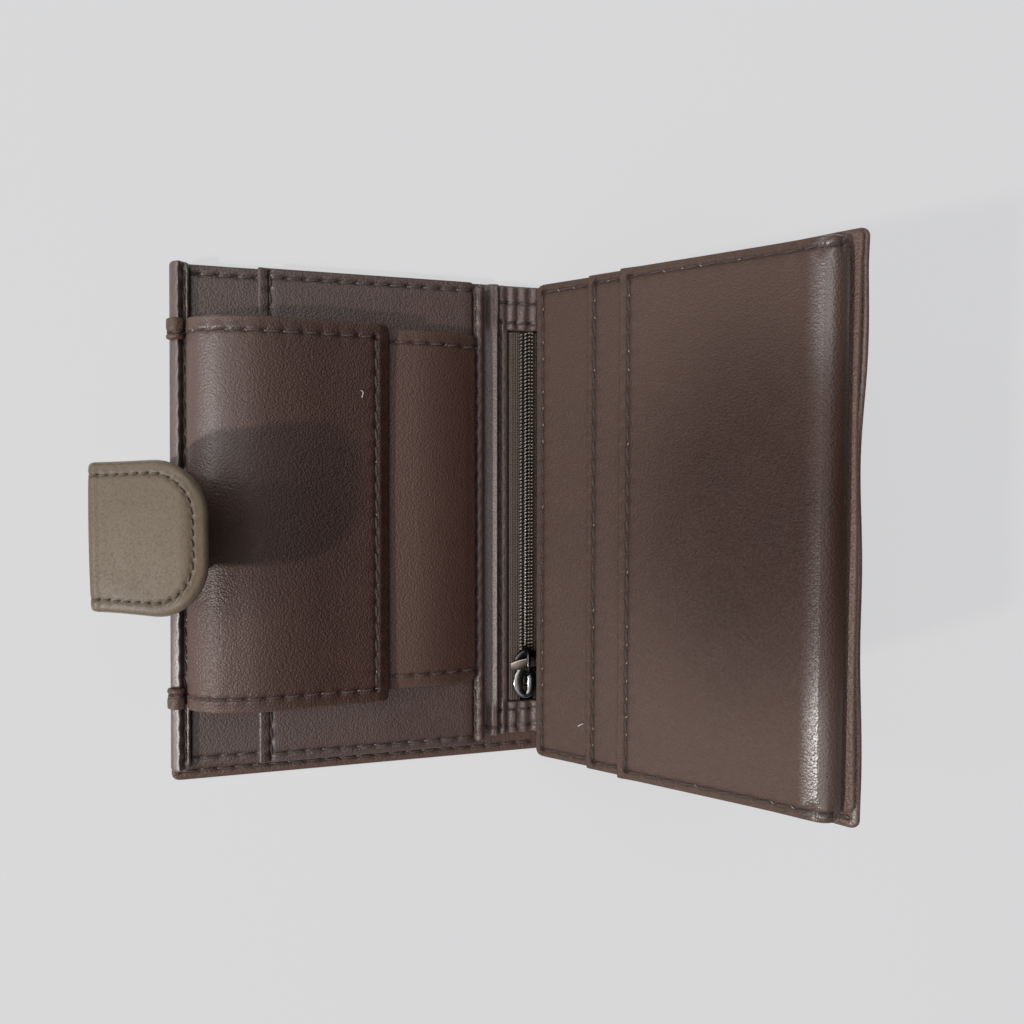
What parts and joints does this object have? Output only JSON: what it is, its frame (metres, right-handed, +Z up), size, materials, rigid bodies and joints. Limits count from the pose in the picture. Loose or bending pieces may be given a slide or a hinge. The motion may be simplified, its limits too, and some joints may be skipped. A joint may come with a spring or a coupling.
{
  "type": "bifold wallet",
  "caption": "Small bifold wallet in grained faux leather, standing part open, with a coin pocket, a zip pocket in the spine, a turning card page and a closing strap.",
  "frame": {"origin": "on the underside of the left cover, at the middle of the left leaf", "axes": "+X from the left leaf towards the spine and the right leaf, +Y along the spine towards the top edge in the picture, +Z up from the surface the wallet lies on"},
  "size_m": [0.1216, 0.098, 0.0526],
  "materials": {
    "brown_leather": "satin grained faux leather, dark brown",
    "strap_leather": "satin grained faux leather, dark taupe brown",
    "zip_tape_cloth": "woven zip tape, matt",
    "zip_teeth_nylon": "moulded nylon coil, satin",
    "black_metal": "polished black plated metal"
  },
  "bodies": {
    "left_leaf": {"cover_left": "brown_leather", "inner_panel_left": "brown_leather", "strap_anchor": "brown_leather", "outer_hem_left": "brown_leather", "card_slot_left": "brown_leather", "seam_strip": "brown_leather", "coin_pocket_back": "brown_leather", "coin_pocket_front": "brown_leather", "coin_gusset_top": "brown_leather", "coin_gusset_bottom": "brown_leather", "coin_stud": "black_metal", "coin_rivet": "black_metal"},
    "coin_flap": {"coin_flap": "brown_leather", "coin_flap_lining": "brown_leather", "coin_flap_socket": "black_metal"},
    "strap": {"strap_span": "strap_leather"},
    "strap_tab": {"strap_tab": "strap_leather", "strap_tab_lining": "strap_leather", "strap_tab_socket": "black_metal"},
    "spine": {"cover_spine": "brown_leather", "spine_lining": "brown_leather", "fold_cover_left": "brown_leather", "fold_lining_left": "brown_leather", "fold_cover_right": "brown_leather", "fold_lining_right": "brown_leather", "zip_tape_left": "zip_tape_cloth", "zip_tape_right": "zip_tape_cloth", "zip_teeth_left": "zip_teeth_nylon", "zip_teeth_right": "zip_teeth_nylon", "zip_stop_top": "black_metal", "zip_stop_bottom": "black_metal"},
    "zip_slider": {"zip_slider": "black_metal"},
    "zip_pull": {"zip_pull": "black_metal"},
    "right_leaf": {"cover_right": "brown_leather", "inner_panel_right": "brown_leather", "strap_stud": "black_metal", "strap_rivet": "black_metal"},
    "page": {"page_back": "brown_leather", "page_base": "brown_leather", "page_slot": "brown_leather", "page_front": "brown_leather"}
  },
  "joints": [
    {"name": "left_fold", "type": "hinge", "parent": "left_leaf", "child": "spine", "pos_m": [0.0305, 0, 0.0035], "axis": [0, -1, 0], "range_deg": [0, 90], "deforming": ["fold_cover_left", "fold_lining_left"]},
    {"name": "right_fold", "type": "hinge", "parent": "spine", "child": "right_leaf", "pos_m": [0.0445, 0, 0.0035], "axis": [0, -1, 0], "range_deg": [-53.3, 35.8], "deforming": ["fold_cover_right", "fold_lining_right"]},
    {"name": "page_turn", "type": "hinge", "parent": "right_leaf", "child": "page", "pos_m": [0.07689, 0, 0.05054], "axis": [0, -1, 0], "range_deg": [-162.4, 7.6]},
    {"name": "coin_flap_hinge", "type": "hinge", "parent": "left_leaf", "child": "coin_flap", "pos_m": [-0.027, 0, 0.0031], "axis": [0, 1, 0], "range_deg": [-48, 0]},
    {"name": "strap_root", "type": "hinge", "parent": "left_leaf", "child": "strap", "pos_m": [-0.03175, 0, 0.00195], "axis": [0, 1, 0], "range_deg": [-73, 17]},
    {"name": "tab_fold", "type": "hinge", "parent": "strap", "child": "strap_tab", "pos_m": [-0.03769, 0, 0.02136], "axis": [0, 1, 0], "range_deg": [-90, 0]},
    {"name": "zip_slide", "type": "slide", "parent": "spine", "child": "zip_slider", "axis": [0, 1, 0], "range_m": [0, 0.0635]},
    {"name": "zip_pull_hinge", "type": "hinge", "parent": "zip_slider", "child": "zip_pull", "pos_m": [0.039, -0.0295, 0.0045], "axis": [1, 0, 0], "range_deg": [-36, 0]}
  ]
}
